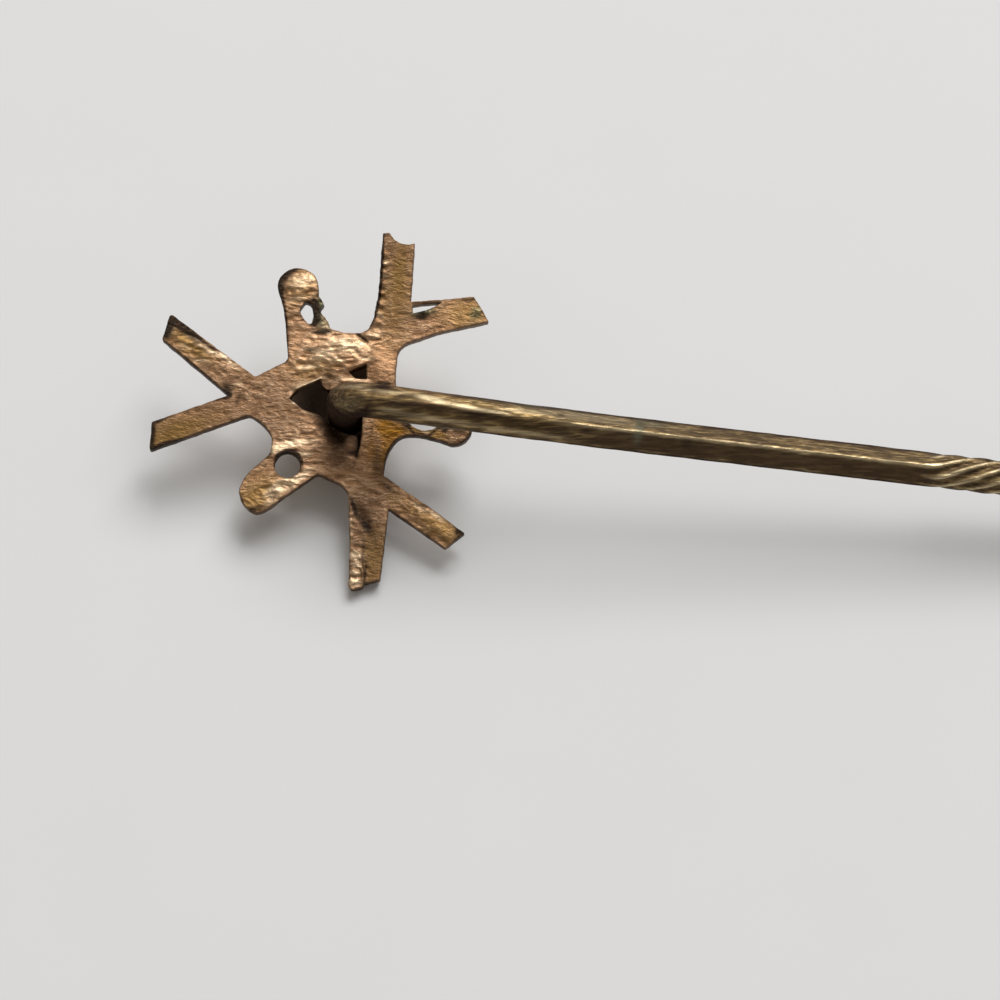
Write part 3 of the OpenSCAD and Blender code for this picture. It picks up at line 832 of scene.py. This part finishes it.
def build_star(sizes):
    """The star's sheet as one closed mesh, worked, dented, bent and leaned into place."""
    bm = star_flat(sizes)
    cut = [e for e in bm.edges if len(e.link_faces) == 2 and e.calc_face_angle() > CUT_ANGLE
           and abs(e.verts[0].co.z - e.verts[1].co.z) < 1e-4]
    bmesh.ops.bevel(bm, geom=cut, offset=CUT_ROUND, offset_type="OFFSET", segments=2,
                    profile=0.5, affect="EDGES", clamp_overlap=False, material=-1)
    step = sizes.grain / MM * 1
    divide(bm, 0, *SPAN_P, LONG * step)
    divide(bm, 1, *SPAN_Q, step)
    bmesh.ops.dissolve_degenerate(bm, edges=bm.edges, dist=SLIVER)
    bm.normal_update()
    bm.verts.index_update()
    walls = [v for v in bm.verts if abs(v.normal.z) < 0.9]
    edge_map = kdtree.KDTree(len(walls))
    for v in walls:
        edge_map.insert((v.co.x, v.co.y, 0), v.index)
    edge_map.balance()
    facts = {}
    for v in bm.verts:
        p, q, h = v.co
        wear = edge_darkening(v, edge_map.find((p, q, 0))[2])
        height, shade = relief_of(p, q)
        rubbed = marks(p, q, RUBBED)
        facts[v.index] = (wear, shade * (1 - 0.65 * rubbed))
        out = Vector((v.normal.x, v.normal.y, 0))
        if out.length > 0.3:
            v.co += out.normalized() * nicked(p, q, h)
        v.co.z += lift_of(sizes, p, q, h, height, rubbed)
    paint(bm, lambda v: (v.co.x, v.co.y), lambda v, p, q: sheet_layers(p, q, *facts[v.index]))
    bmesh.ops.transform(bm, verts=bm.verts, matrix=leaned(sizes))
    return bm


# The stem's stretches along its middle line, from the turn to the point
NECK_L = 8.2
SQUARE_L = 11.9
TWIST_L = 9.0
SHANK_L = 7.0
TAPER_L = 13.0
SHANK_AT = SQUARE_L + TWIST_L
STEM_L = NECK_L + SHANK_AT + SHANK_L + TAPER_L
# Where the wire leaves the star, how high its corner stands over it and how far its foot reaches
WIRE_AT = (0.17, -0.19)
STAND = 2.24
FOOT = 3.1
# Radii of the point and the turn, the square's rounded corner, and a strand of the twist as
# parts of the wire's radius
POINT_R = 0.1
TURN_R = 0.8
SQUARE_ROUND = 0.09
STRAND_MEAN = 0.915
STRAND_SWELL = 0.080
# Headings on the floor and the square's turn about the wire, in degrees, the stretch over which
# one heading goes into the other, and that over which the twist winds up
NECK_HEADING = -5.7
STEM_HEADING = -4.6
RIDGE_TURN = 19.0
KINK_BLEND = 2.5
WIND_UP = 0.7
# Vertices in a ring, steps of the foot and the turn, and the gaps between rings past the turn:
# the first, those up to the shank and those along it
RING = 96
FOOT_STEPS = 12
TURN_STEPS = 28
FIRST_GAP = 0.08
RING_GAP = 0.07
SHANK_GAP = 0.14
# How far the wire's small dents change its radius
DENT = 0.020


def stem_line(star):
    """Corner of the turn, the two headings and the corner between them, in millimetres."""
    lean = Matrix.Rotation(star.tilt, 3, "X")
    corner = Vector(star.middle) / MM + lean @ Vector((*WIRE_AT, STAND))
    fall = math.asin((corner.z - POINT_R) / STEM_L)

    def heading(turn):
        a = math.radians(turn)
        return Vector((math.cos(fall) * math.cos(a), math.cos(fall) * math.sin(a),
                       -math.sin(fall)))

    neck, rest = heading(NECK_HEADING), heading(STEM_HEADING)
    return lean @ Vector((0, 0, 1)), corner, neck, rest, corner + NECK_L * neck


def stem_path(star):
    """Every ring's middle, heading and distance past the neck, from the foot to the point."""
    normal, corner, neck, rest, kink = stem_line(star)
    angle = normal.angle(neck)
    trim = TURN_R * math.tan(angle / 2)
    side = (neck - neck.dot(normal) * normal).normalized()
    centre = corner - trim * normal + TURN_R * side
    path = [(corner - (trim + FOOT * (1 - i / FOOT_STEPS)) * normal, normal, -NECK_L - 3)
            for i in range(FOOT_STEPS)]
    for i in range(TURN_STEPS + 1):
        a = angle * i / TURN_STEPS
        out = math.sin(a) * normal - math.cos(a) * side
        path.append((centre + TURN_R * out, math.cos(a) * normal + math.sin(a) * side,
                     -NECK_L))
    d = trim + FIRST_GAP - NECK_L
    while d < STEM_L - NECK_L:
        if d < -KINK_BLEND:
            path.append((kink + d * neck, neck, d))
        elif d > KINK_BLEND:
            path.append((kink + d * rest, rest, d))
        else:
            t = (d + KINK_BLEND) / (2 * KINK_BLEND)
            place = ((1 - t) ** 2 * (kink - KINK_BLEND * neck) + 2 * t * (1 - t) * kink
                     + t * t * (kink + KINK_BLEND * rest))
            path.append((place, ((1 - t) * neck + t * rest).normalized(), d))
        d += RING_GAP if d < SHANK_AT + 1 else SHANK_GAP
    path.append((kink + (STEM_L - NECK_L) * rest, rest, STEM_L - NECK_L))
    return path, side


def square_reach(local, half, corner_r):
    """Distance to the side of a rounded square in a direction off the middle of that side."""
    ux, uy = math.cos(local), abs(math.sin(local))
    reach = half / ux
    flat = half - corner_r
    if reach * uy > flat:
        b = flat * (ux + uy)
        reach = b + math.sqrt(max(b * b - 2 * flat * flat + corner_r * corner_r, 0.0))
    return reach


def ridged(local):
    """Shape of the eight ridges of the twist, 1 on a ridge and -1 between two of them."""
    wave = math.cos(8 * local)
    return wave if wave < 0 else wave ** 1.4


def roped(d):
    """How far the square has become the twist at a distance past the neck."""
    return smooth(SQUARE_L - 0.3, SQUARE_L + 0.6, d)


def shanked(d):
    """How far the twist has become the round shank at a distance past the neck."""
    return smooth(SHANK_AT - 0.2, SHANK_AT + 1.0, d)


def squareness(d):
    """How much the stem's section departs from round at a distance past the neck."""
    onset = 0.45 * smooth(-5.0, -1.0, d) + 0.55 * smooth(-1.6, 0.6, d)
    return onset * (1 - shanked(d))


def side_angle(i):
    """Angle of a ring's vertex off the middle of its side of the square."""
    return math.radians(i % (RING // 4) / (RING // 4) * 90 - 45)


def stem_reach(sizes, d, i):
    """Distance from the stem's middle to its surface at one vertex of a ring."""
    local = side_angle(i)
    shank = shanked(d)
    round_r = (sizes.wire * (1 - shank) + sizes.shank * shank) / 2 / MM
    past = (d - SHANK_AT - SHANK_L) / TAPER_L
    if past > 0:
        round_r = sizes.shank / 2 / MM * (1 - past) + POINT_R * past
    rope = roped(d)
    strand = sizes.wire / MM / 2 * (STRAND_MEAN + STRAND_SWELL * ridged(local))
    flat = square_reach(local, sizes.square / MM / 2, SQUARE_ROUND)
    square = squareness(d)
    return round_r * (1 - square) + ((1 - rope) * flat + rope * strand) * square


def twist_of(sizes, d):
    """Turn of the stem's section at a distance past the neck."""
    t = d - SQUARE_L
    if t <= 0:
        return 0.0
    run = t * t / (2 * WIND_UP) if t < WIND_UP else t - WIND_UP / 2
    return 2 * math.pi * min(run, TWIST_L - WIND_UP / 2) / (sizes.pitch / MM)


def seen_at(sizes, co):
    """Place in the picture of a point in millimetres, for marks on the wire."""
    p, q, h = Matrix.Rotation(-sizes.tilt, 3, "X") @ (co - Vector(sizes.middle) / MM)
    return SEEN_MIDDLE[0] + PX_ACROSS * p, SEEN_MIDDLE[1] - PX_UP * q - PX_OUT * h


def worn_corner(d, i):
    """Share of a ring's vertex in a rubbed corner of the square or ridge of the twist."""
    if d <= -2:
        return 0.0
    local = side_angle(i)
    worn = 5 * ripple(d * 1.3, 0.5, i // (RING // 4))
    corner = smooth(30 + worn, 41 + worn, math.degrees(abs(local)))
    return (1 - roped(d)) * corner + roped(d) * smooth(-0.2, 1.0, ridged(local))


def wire_dent(d, out):
    """Unevenness of the wire at a distance along it and a direction out of it."""
    dent = ripple(d * 0.9, out.y * 1.1, out.z * 1.1)
    dent += 0.6 * ripple(d * 2.4, out.y * 2.6, out.z * 2.6)
    return dent + 0.25 * ripple(d * 5, out.y * 5, out.z * 5)


# Ways to the picture's eye, up the picture, and half way down and up from the eye
EYE_WAY = Vector((0, -0.53, 0.85))
HIGH_WAY = Vector((0, 0.85, 0.53))
LOW_SIDE = Vector((0, -0.85, 0.53))
HIGH_SIDE = Vector((0, 0.53, 0.85))
# Middle of the turn's lit patch in the picture, where that ends in pixels from its middle, and
# where past it the wire is lit right across; outside the patch the turn is painted in shade
HEAD_SEEN = (352, 392)
HEAD_EDGE = (18, 24)
LIT_FROM = -7.5
# Marks on the wire's shown side: place in the picture, half length and half width in pixels,
# turn in degrees and strength
WIRE_DARK = (
    (328, 400, 6, 16, 0, 0.7),
    (398, 407, 22, 2.0, 7, 0.2),
    (384, 388, 9, 2.4, 5, 1.3),
    (432, 408.5, 64, 4.2, 7.6, 0.75),
    (505, 421, 44, 4.2, 7.6, 0.6),
    (590, 419, 60, 2.5, 7.0, 0.3),
    (640, 425, 8, 3, 7, 0.5),
    (684, 444, 7, 6, 60, 0.5),
    (560, 416, 5, 1.6, 7, 0.6),
    (585, 431, 6, 2.0, 7, 0.6),
    (378, 417, 30, 1.6, 6, 0.5),
)
# Painted highlights along the wire's top and a painted reflection along its lower side
WIRE_BRIGHT = (
    (585, 418, 60, 4.0, 7, 0.35),
    (520, 412, 20, 2.0, 7, 0.4),
    (388, 393, 20, 1.8, 5, 0.30),
    (433, 400.5, 17, 3.0, 15, 1.0),
    (464, 408, 16, 2.6, 12, 0.8),
    (490, 412.5, 18, 2.0, 8, 0.8),
    (352, 388, 14, 2.2, 0, 0.35),
    (392, 411, 12, 2.4, 7, 0.5),
    (436, 420, 34, 2.8, 7.6, 0.45),
    (520, 433, 44, 2.4, 7.6, 0.40),
)
WIRE_GREEN = (
    (352, 404, 14, 8, 0, 0.25),
    (637, 431, 5, 13, 10, 0.75),
    (652, 425, 12, 3, 7, 0.4),
)
WIRE_BROWN = (
    (340, 387, 20, 6, 0, 0.9),
    (434, 406, 14, 2.8, 8, 0.8),
    (440, 393, 50, 4.0, 7.6, 0.8),
    (356, 402, 20, 6, 7, 0.4),
)


def wire_layers(v, seen_x, seen_y, d, corner, height):
    """Stain, wear and form of the wire at a vertex, in the order that paint takes, with painted
    shade and painted highlights among them.
    """
    facing = v.normal.dot(EYE_WAY)
    front = smooth(-0.35, -0.05, facing)
    rope = roped(d)
    groove = rope * (1 - smooth(SHANK_AT - 0.5, SHANK_AT + 0.5, d)) * (1 - corner)
    # Tarnish of the square's two sides, with painted shade making the lower side darker, less on
    # its rubbed ridges
    square = smooth(-2.0, 1.0, d) * (1 - 0.7 * rope)
    low = smooth(0.55, 0.95, v.normal.dot(LOW_SIDE)) * square
    high = smooth(0.55, 0.95, v.normal.dot(HIGH_SIDE)) * square
    # Rubbed ridges, painted as a highlight where they face the eye
    ridge = corner * smooth(0.80 - 0.7 * rope, 0.93 - 0.5 * rope, facing) * squareness(d) ** 3
    ridge *= 0.8 + 0.5 * ripple(d * 2.2, 0.3, 4.4)
    tarnish = 0.50 + 0.50 * low + 0.17 * high + 0.12 * groove + 0.18 * smooth(-5.2, -6.6, d)
    # Dark stains, painted shade on the turn's underside and the dark upper and lower edge of the
    # wire
    dark = front * marks(seen_x, seen_y, WIRE_DARK)
    if d < LIT_FROM + 0.6:
        far = math.hypot(seen_x - HEAD_SEEN[0], seen_y - HEAD_SEEN[1])
        dark = max(dark, smooth(*HEAD_EDGE, far) * smooth(LIT_FROM + 0.6, LIT_FROM, d))
    level = height + 0.03 * ripple(d * 1.4, 2.2, 1.1)
    edge = max(smooth(0.47, 0.56, level), smooth(-0.52, -0.58, level))
    dark = max(dark, 0.85 * front * edge * smooth(-5.5, -3.5, d), 0.18 * groove)
    # Painted highlights on the ridges and from the bright marks
    bright = max(0.9 * ridge, front * marks(seen_x, seen_y, WIRE_BRIGHT))
    return (dark, front * marks(seen_x, seen_y, WIRE_GREEN), 0.0,
            front * marks(seen_x, seen_y, WIRE_BROWN), bright, 0.0,
            min(tarnish * (1 - 0.8 * ridge), 1.0), 0.0)


def build_stem(star, sizes):
    """The stem, drawn ring by ring from inside the boss to its point, and its tarnish, painted
    shade and painted highlights.
    """
    path, side = stem_path(star)
    bm = bmesh.new()
    ring = bmesh.ops.create_circle(bm, cap_ends=True, segments=RING, radius=1)["verts"]
    edges = [e for e in bm.edges if len(e.link_faces) == 1]
    x = -side
    along_of = {}
    for k, (place, along, d) in enumerate(path):
        if k:
            made = bmesh.ops.extrude_edge_only(bm, edges=edges)["geom"]
            new = {g for g in made if isinstance(g, bmesh.types.BMVert)}
            edges = [g for g in made if isinstance(g, bmesh.types.BMEdge)
                     and g.verts[0] in new and g.verts[1] in new]
            ring = [next(e.other_vert(v) for e in v.link_edges if e.other_vert(v) in new)
                    for v in ring]
        x = (x - x.dot(along) * along).normalized()
        y = along.cross(x)
        start = star.tilt - math.radians(RIDGE_TURN) + twist_of(sizes, d)
        for i, v in enumerate(ring):
            a = start + 2 * math.pi * i / RING
            out = math.cos(a) * x - math.sin(a) * y
            v.co = place + stem_reach(sizes, d, i) * (1 + DENT * wire_dent(d, out)) * out
            along_of[v] = (d, worn_corner(d, i), (v.co - place).dot(HIGH_WAY))
    bmesh.ops.contextual_create(bm, geom=edges)
    bm.normal_update()
    bm.verts.index_update()
    facts = {v.index: along_of[v] for v in bm.verts}
    paint(bm, lambda v: seen_at(star, v.co), lambda v, x, y: wire_layers(v, x, y, *facts[v.index]))
    bmesh.ops.scale(bm, verts=bm.verts, vec=(MM, MM, MM))
    return bm


# The boss: the gap between it and the sheet in millimetres, and the steps of each arc of its
# profile
SOLDER_GAP = 0.03
ARC_STEPS = 24


def arc(radius, start, end):
    """Points of an arc about the origin."""
    angles = [start + (end - start) * i / ARC_STEPS for i in range(ARC_STEPS + 1)]
    return [(radius * math.cos(a), radius * math.sin(a)) for a in angles]


def touching(radius, x, z):
    """Angle at which a straight line from a point touches a circle about the origin."""
    return math.atan2(z, x) - math.acos(radius / math.hypot(x, z))


def build_boss(star, sizes):
    """The plain hollow dome, spun about the star's own axis, down to the floor."""
    ball, rim, wall = sizes.ball / MM, sizes.rim / MM, sizes.wall / MM
    middle_z = star.middle[2] / MM
    out = (middle_z - ball) / math.cos(star.tilt)
    top = out - star.sheet / MM / 2 - SOLDER_GAP
    bottom = -math.pi / 2
    inner = ball - wall
    profile = arc(ball, bottom, touching(ball, rim, top))
    profile += [(rim - 0.05, top - 0.06), (rim, top - 0.03), (rim - 0.03, top), (rim - wall, top)]
    profile += arc(inner, touching(inner, rim - wall, top), bottom)
    bm = bmesh.new()
    verts = [bm.verts.new((x, 0, z)) for x, z in profile]
    edges = [bm.edges.new(pair) for pair in zip(verts, verts[1:])]
    bmesh.ops.spin(bm, geom=verts + edges, cent=(0, 0, 0), axis=(0, 0, 1),
                   angle=2 * math.pi, steps=96, use_merge=True)
    bmesh.ops.remove_doubles(bm, verts=bm.verts, dist=1e-5)
    bmesh.ops.recalc_face_normals(bm, faces=bm.faces)
    for v in bm.verts:
        n = noise.noise(v.co * 1.7) * 0.025 + noise.noise(v.co * 5) * 0.006
        v.co += v.co.normalized() * n
    place = leaned(star) @ Matrix.Translation((0, 0, -out))
    bmesh.ops.transform(bm, verts=bm.verts, matrix=place)
    return bm


def paint_boss(star, bm):
    """Even tarnish outside the boss and dull solder inside it."""
    bm.normal_update()
    axis = Matrix.Rotation(star.tilt, 3, "X") @ Vector((0, 0, 1))
    middle = Vector(star.middle)

    def inside(v):
        out = v.co - middle
        level = out - out.dot(axis) * axis
        return smooth(0.0, 0.3, max(v.normal.dot(axis), -v.normal.dot(level.normalized())))

    paint(bm, lambda v: (0, 0), lambda v, p, q: (0, 0, 0, 0, 0, 0, -0.5, 0), inside)


class PIN_OT_star(bpy.types.Operator):
    """Make the sawn star of copper-coloured sheet"""
    bl_idname = "pin.star"
    bl_label = "Star"

    def execute(self, context):
        scene = context.scene
        finish_piece(build_star(scene.pin_star), "star_sheet", "star_plate",
                     copper_sheet(scene.pin_finish))
        return {"FINISHED"}


class PIN_OT_stem(bpy.types.Operator):
    """Make the bent, squared and twisted stem"""
    bl_idname = "pin.stem"
    bl_label = "Stem"

    def execute(self, context):
        scene = context.scene
        finish_piece(build_stem(scene.pin_star, scene.pin_stem), "stem_wire", "stem",
                     olive_brass(scene.pin_finish))
        return {"FINISHED"}


class PIN_OT_boss(bpy.types.Operator):
    """Make the domed boss in front of the star"""
    bl_idname = "pin.boss"
    bl_label = "Boss"

    def execute(self, context):
        scene = context.scene
        bm = build_boss(scene.pin_star, scene.pin_boss)
        paint_boss(scene.pin_star, bm)
        finish_piece(bm, "front_dome", "front_boss",
                     olive_brass(scene.pin_finish, "boss_brass"))
        return {"FINISHED"}


# Lights as name, slope from straight up towards the back, distance, width, depth, watts
LIGHTS = (
    ("window_light", 36, 0.60, 0.42, 0.40, 2.60),
    ("ceiling_light", 12, 0.80, 0.32, 0.24, 0.80),
)
LIGHT_SIDE = 0.22
# The room's light as the way to its bright side, how it fades along that way, and its tint
ROOM_WAY = (0.0, 0.45, 0.89)
ROOM_FADE = {"From Min": -0.3, "From Max": 0.75, "To Min": 0.13, "To Max": 0.38}
ROOM_TINT = (1.0, 0.95, 0.89, 1)
# The camera's slope in degrees, its distance from the star, where it looks to the right of the
# star's middle and below it, and the width of its sensor
CAMERA_SLOPE = 58
CAMERA_FAR = 220.0
AIM_RIGHT = 5.517
AIM_BELOW = 3.276
SENSOR = 36.0


def soft_light(scene, name, slope, far, width, depth, watts):
    """Soft oblong lamp that looks at the pin."""
    lamp = bpy.data.lights.new(name, "AREA")
    lamp.shape = "RECTANGLE"
    lamp.size = width
    lamp.size_y = depth
    lamp.energy = watts
    lamp.color = (0.99, 0.995, 1.0)
    light = bpy.data.objects.new(name, lamp)
    a = math.radians(slope)
    light.location = far * Vector((LIGHT_SIDE, math.sin(a), math.cos(a)))
    light.rotation_euler = (-light.location).to_track_quat("-Z", "Y").to_euler()
    scene.collection.objects.link(light)


def soft_room():
    """Pale room, bright above and behind the pin and dim in front of it."""
    world = bpy.data.worlds.new("soft_room")
    world.use_nodes = True
    tree = world.node_tree
    way = tree.nodes.new("ShaderNodeTexCoord").outputs["Generated"]
    facing = tree.nodes.new("ShaderNodeVectorMath")
    facing.operation = "DOT_PRODUCT"
    facing.inputs[1].default_value = ROOM_WAY
    tree.links.new(way, facing.inputs[0])
    fade = tree.nodes.new("ShaderNodeMapRange")
    fade.interpolation_type = "SMOOTHSTEP"
    for key, value in ROOM_FADE.items():
        fade.inputs[key].default_value = value
    tree.links.new(facing.outputs["Value"], fade.inputs["Value"])
    sky = tree.nodes["Background"]
    sky.inputs["Color"].default_value = ROOM_TINT
    tree.links.new(fade.outputs[0], sky.inputs["Strength"])
    return world


class PIN_OT_stage(bpy.types.Operator):
    """Make the pale floor, the soft light and the camera"""
    bl_idname = "pin.stage"
    bl_label = "Stage"

    def execute(self, context):
        scene = context.scene
        bm = bmesh.new()
        bmesh.ops.create_grid(bm, x_segments=8, y_segments=8, size=0.6)
        floor = as_object(bm, "floor")
        floor.data.materials.append(pale_floor(scene.pin_finish))

        scene.world = soft_room()
        for row in LIGHTS:
            soft_light(scene, *row)

        slope = math.radians(CAMERA_SLOPE)
        middle = Vector(scene.pin_star.middle)
        up = Vector((0, math.sin(slope), math.cos(slope)))
        back = Vector((0, -math.cos(slope), math.sin(slope)))
        aim = middle + (AIM_RIGHT * Vector((1, 0, 0)) - AIM_BELOW * up) * MM
        cam = bpy.data.cameras.new("photo_view")
        cam.sensor_width = SENSOR
        cam.lens = SENSOR * CAMERA_FAR / (PICTURE / PX_ACROSS)
        cam.clip_start = 0.01
        cam.clip_end = 5.0
        camera = bpy.data.objects.new("photo_view", cam)
        camera.location = aim + CAMERA_FAR * MM * back
        camera.rotation_euler = (-back).to_track_quat("-Z", "Y").to_euler()
        scene.collection.objects.link(camera)
        scene.camera = camera
        scene.view_settings.view_transform = "Standard"
        return {"FINISHED"}


class PIN_PT_panel(bpy.types.Panel):
    """Sizes, finishes and makers of the stick pin"""
    bl_idname = "PIN_PT_panel"
    bl_label = "Stick Pin"
    bl_space_type = "VIEW_3D"
    bl_region_type = "UI"
    bl_category = "Stick Pin"

    def draw(self, context):
        scene = context.scene
        for group in (scene.pin_star, scene.pin_stem, scene.pin_boss, scene.pin_finish):
            box = self.layout.box()
            for name in group.__annotations__:
                box.prop(group, name)
        for operator in OPERATORS:
            self.layout.operator(operator.bl_idname)


OPERATORS = (PIN_OT_star, PIN_OT_stem, PIN_OT_boss, PIN_OT_stage)
GROUPS = {
    "pin_star": StarSizes,
    "pin_stem": StemSizes,
    "pin_boss": BossSizes,
    "pin_finish": Finishes,
}
CLASSES = (*GROUPS.values(), *OPERATORS, PIN_PT_panel)


def register():
    for kind in CLASSES:
        bpy.utils.register_class(kind)
    for name, group in GROUPS.items():
        setattr(bpy.types.Scene, name, PointerProperty(type=group))


def unregister():
    for name in GROUPS:
        delattr(bpy.types.Scene, name)
    for kind in reversed(CLASSES):
        bpy.utils.unregister_class(kind)


def main():
    register()
    bpy.ops.pin.star()
    bpy.ops.pin.stem()
    bpy.ops.pin.boss()
    bpy.ops.pin.stage()


if __name__ == "__main__":
    main()
